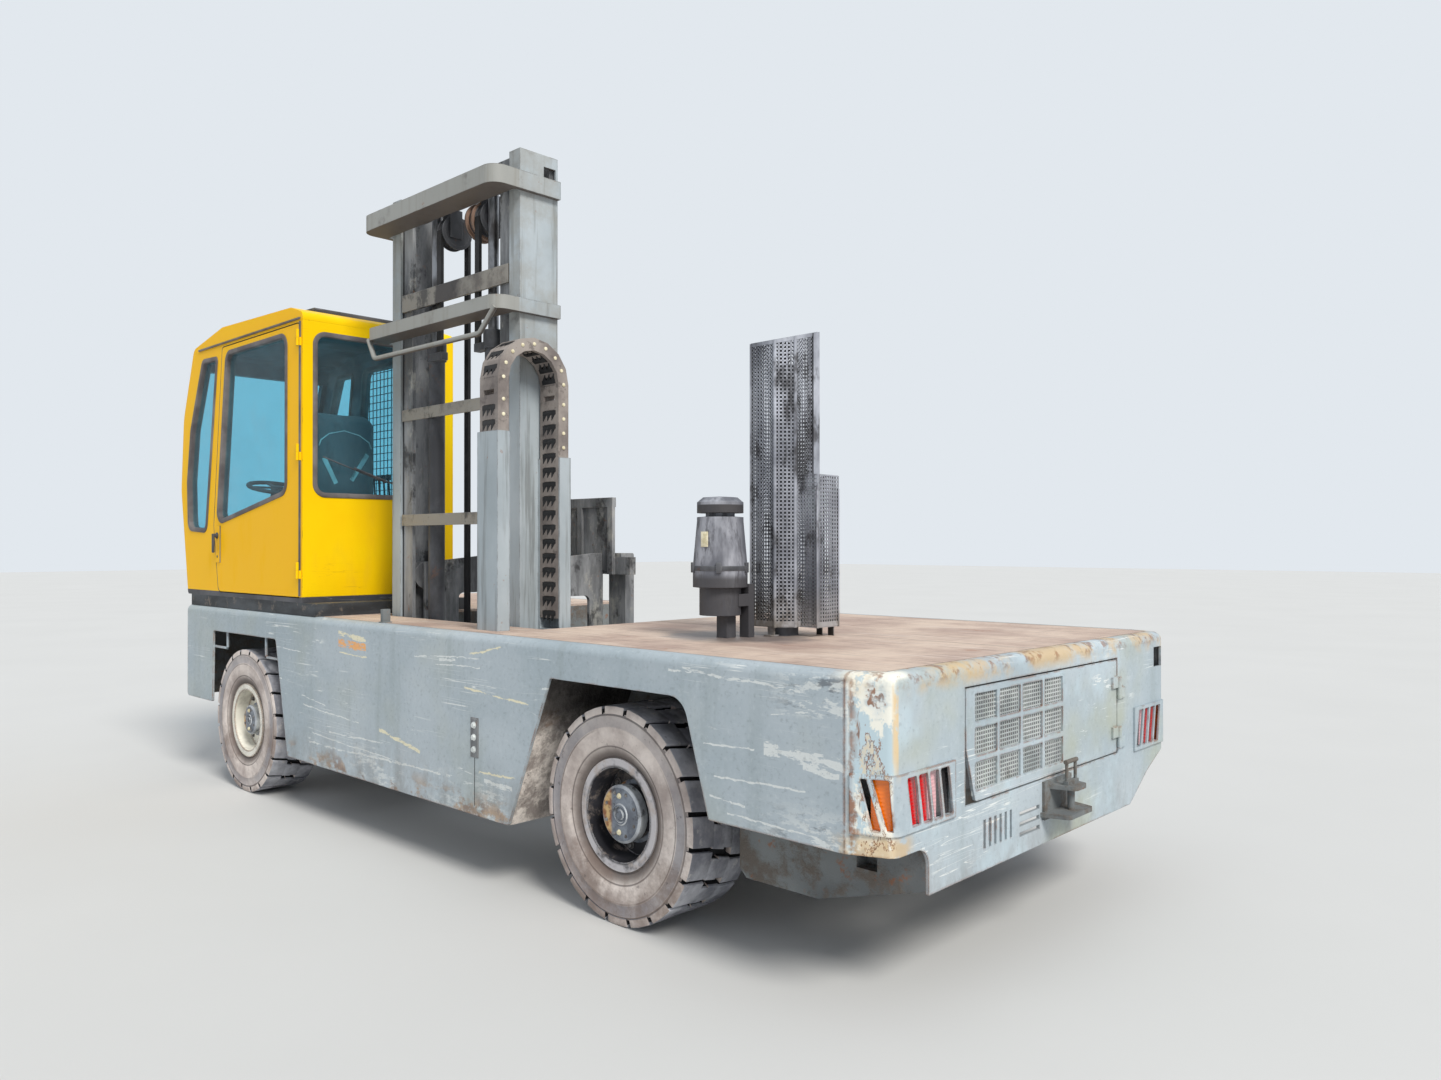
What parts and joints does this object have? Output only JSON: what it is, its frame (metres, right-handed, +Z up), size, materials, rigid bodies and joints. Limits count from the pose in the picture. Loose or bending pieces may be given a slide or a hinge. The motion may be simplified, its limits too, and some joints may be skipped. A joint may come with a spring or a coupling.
{
  "type": "side loader forklift",
  "caption": "Side loader forklift with a flat deck, a cab at one front corner, and a lift mast that travels sideways in a well to set loads on the deck.",
  "frame": {"origin": "on the ground under the middle of the truck", "axes": "+X forward towards the cab, +Y left, +Z up"},
  "size_m": [5.5976, 2.2114, 3.305],
  "materials": {
    "black_plastic": "matt",
    "cab_paint": "yellow gloss paint",
    "cast_steel": "dirty casting",
    "chassis_paint": "weathered grey paint",
    "chrome_rod": "polished",
    "dark_steel": "dark greasy steel",
    "deck_steel": "worn and rusty",
    "frame_steel": "grey paint with dirt",
    "glass": "clear",
    "lamp": "red and amber lenses",
    "mast_paint": "grey paint",
    "rim_black": "black, chipped",
    "rim_white": "off-white, rusty",
    "seat_fabric": "woven black",
    "tyre": "dusty rubber"
  },
  "bodies": {
    "chassis": {"left_side_panel": "chassis_paint", "right_side_panels": "chassis_paint", "rear_bulkhead": "chassis_paint", "deck": "deck_steel", "chassis_frame": "frame_steel", "arch_liners": "frame_steel", "mast_rails": "dark_steel", "engine_block": "cast_steel", "rear_axle": "cast_steel", "front_axle": "cast_steel", "tow_hitch": "frame_steel", "lamps": "lamp", "lamp_guards": "chassis_paint", "air_cleaner": "black_plastic", "exhaust_stack": "dark_steel", "exhaust_guard": "dark_steel", "hose_guide": "mast_paint", "hose_chain_fixed": "mast_paint", "hose_chain_arch": "mast_paint", "cab_base": "frame_steel", "cab_floor": "black_plastic", "cab_glass": "glass", "roof_hatch": "black_plastic", "cab_roof": "cab_paint", "cab_rear_wall": "cab_paint", "cab_right_wall": "cab_paint", "cab_front": "cab_paint", "window_guard": "dark_steel", "seat_base": "black_plastic", "seat_cushion": "seat_fabric", "seat_back": "seat_fabric", "steering_column": "black_plastic", "control_console": "black_plastic"},
    "left_steer": {"left_knuckle": "cast_steel"},
    "right_steer": {"right_knuckle": "cast_steel"},
    "tie_rod": {"tie_rod": "dark_steel"},
    "rear_left_wheel": {"rear_left_rim": "rim_black", "rear_left_tyre": "tyre"},
    "rear_right_wheel": {"rear_right_rim": "rim_black", "rear_right_tyre": "tyre"},
    "front_left_wheel": {"front_left_rim": "rim_white", "front_left_tyre": "tyre"},
    "front_right_wheel": {"front_right_rim": "rim_white", "front_right_tyre": "tyre"},
    "mast": {"outer_mast": "mast_paint", "mast_foot": "mast_paint", "lift_barrels": "dark_steel", "hose_chain_moving": "mast_paint", "chain_anchor_strands": "dark_steel"},
    "inner_mast": {"inner_mast": "mast_paint", "lift_rods": "chrome_rod", "chain_sheaves": "dark_steel"},
    "carriage": {"carriage": "mast_paint", "chain_carriage_strands": "dark_steel"},
    "rear_fork": {"rear_fork": "dark_steel"},
    "front_fork": {"front_fork": "dark_steel"},
    "cab_door": {"cab_door": "cab_paint", "cab_door_glass": "glass"},
    "engine_door": {"engine_door": "chassis_paint"},
    "steering_wheel": {"steering_wheel": "black_plastic"}
  },
  "joints": [
    {"name": "left_steer", "type": "hinge", "parent": "chassis", "child": "left_steer", "pos_m": [1.79, 0.745, 0.415], "axis": [0, 0, 1], "range_deg": [-40, 40]},
    {"name": "right_steer", "type": "hinge", "parent": "chassis", "child": "right_steer", "pos_m": [1.79, -0.745, 0.415], "axis": [0, 0, 1], "range_deg": [-40, 40]},
    {"name": "tie_rod_pivot", "type": "hinge", "parent": "left_steer", "child": "tie_rod", "pos_m": [1.63, 0.745, 0.3], "axis": [0, 0, 1], "range_deg": [-40, 40]},
    {"name": "rear_left_wheel_spin", "type": "hinge", "parent": "chassis", "child": "rear_left_wheel", "pos_m": [-1.42, 0.856, 0.415], "axis": [0, 1, 0], "continuous": true},
    {"name": "rear_right_wheel_spin", "type": "hinge", "parent": "chassis", "child": "rear_right_wheel", "pos_m": [-1.42, -0.856, 0.415], "axis": [0, 1, 0], "continuous": true},
    {"name": "front_left_wheel_spin", "type": "hinge", "parent": "left_steer", "child": "front_left_wheel", "pos_m": [1.79, 0.954, 0.415], "axis": [0, 1, 0], "continuous": true},
    {"name": "front_right_wheel_spin", "type": "hinge", "parent": "right_steer", "child": "front_right_wheel", "pos_m": [1.79, -0.954, 0.415], "axis": [0, 1, 0], "continuous": true},
    {"name": "mast_traverse", "type": "slide", "parent": "chassis", "child": "mast", "axis": [0, -1, 0], "range_m": [0, 1.15], "deforming": ["hose_chain_arch"]},
    {"name": "inner_mast_lift", "type": "slide", "parent": "mast", "child": "inner_mast", "axis": [0, 0, 1], "range_m": [-0.22, 1.7], "deforming": ["chain_anchor_strands"]},
    {"name": "carriage_lift", "type": "slide", "parent": "inner_mast", "child": "carriage", "axis": [0, 0, 1], "range_m": [-0.22, 1.7], "deforming": ["chain_carriage_strands"]},
    {"name": "rear_fork_spread", "type": "slide", "parent": "carriage", "child": "rear_fork", "axis": [1, 0, 0], "range_m": [-0.05, 0.3]},
    {"name": "front_fork_spread", "type": "slide", "parent": "carriage", "child": "front_fork", "axis": [-1, 0, 0], "range_m": [-0.05, 0.3]},
    {"name": "cab_door_hinge", "type": "hinge", "parent": "chassis", "child": "cab_door", "pos_m": [1.099, 1.095, 1.26], "axis": [0, 0, 1], "range_deg": [0, 95]},
    {"name": "engine_door_hinge", "type": "hinge", "parent": "chassis", "child": "engine_door", "pos_m": [-2.709, -0.553, 0.7], "axis": [0, 0, 1], "range_deg": [0, 110]},
    {"name": "steering_wheel_turn", "type": "hinge", "parent": "chassis", "child": "steering_wheel", "pos_m": [2.08, 0.775, 1.8], "axis": [-0.2419, 0, 0.9703], "continuous": true}
  ],
  "couplings": [
    {"joint": "right_steer", "follows": "left_steer", "ratio": 1},
    {"joint": "tie_rod_pivot", "follows": "left_steer", "ratio": -1},
    {"joint": "carriage_lift", "follows": "inner_mast_lift", "ratio": 1}
  ]
}
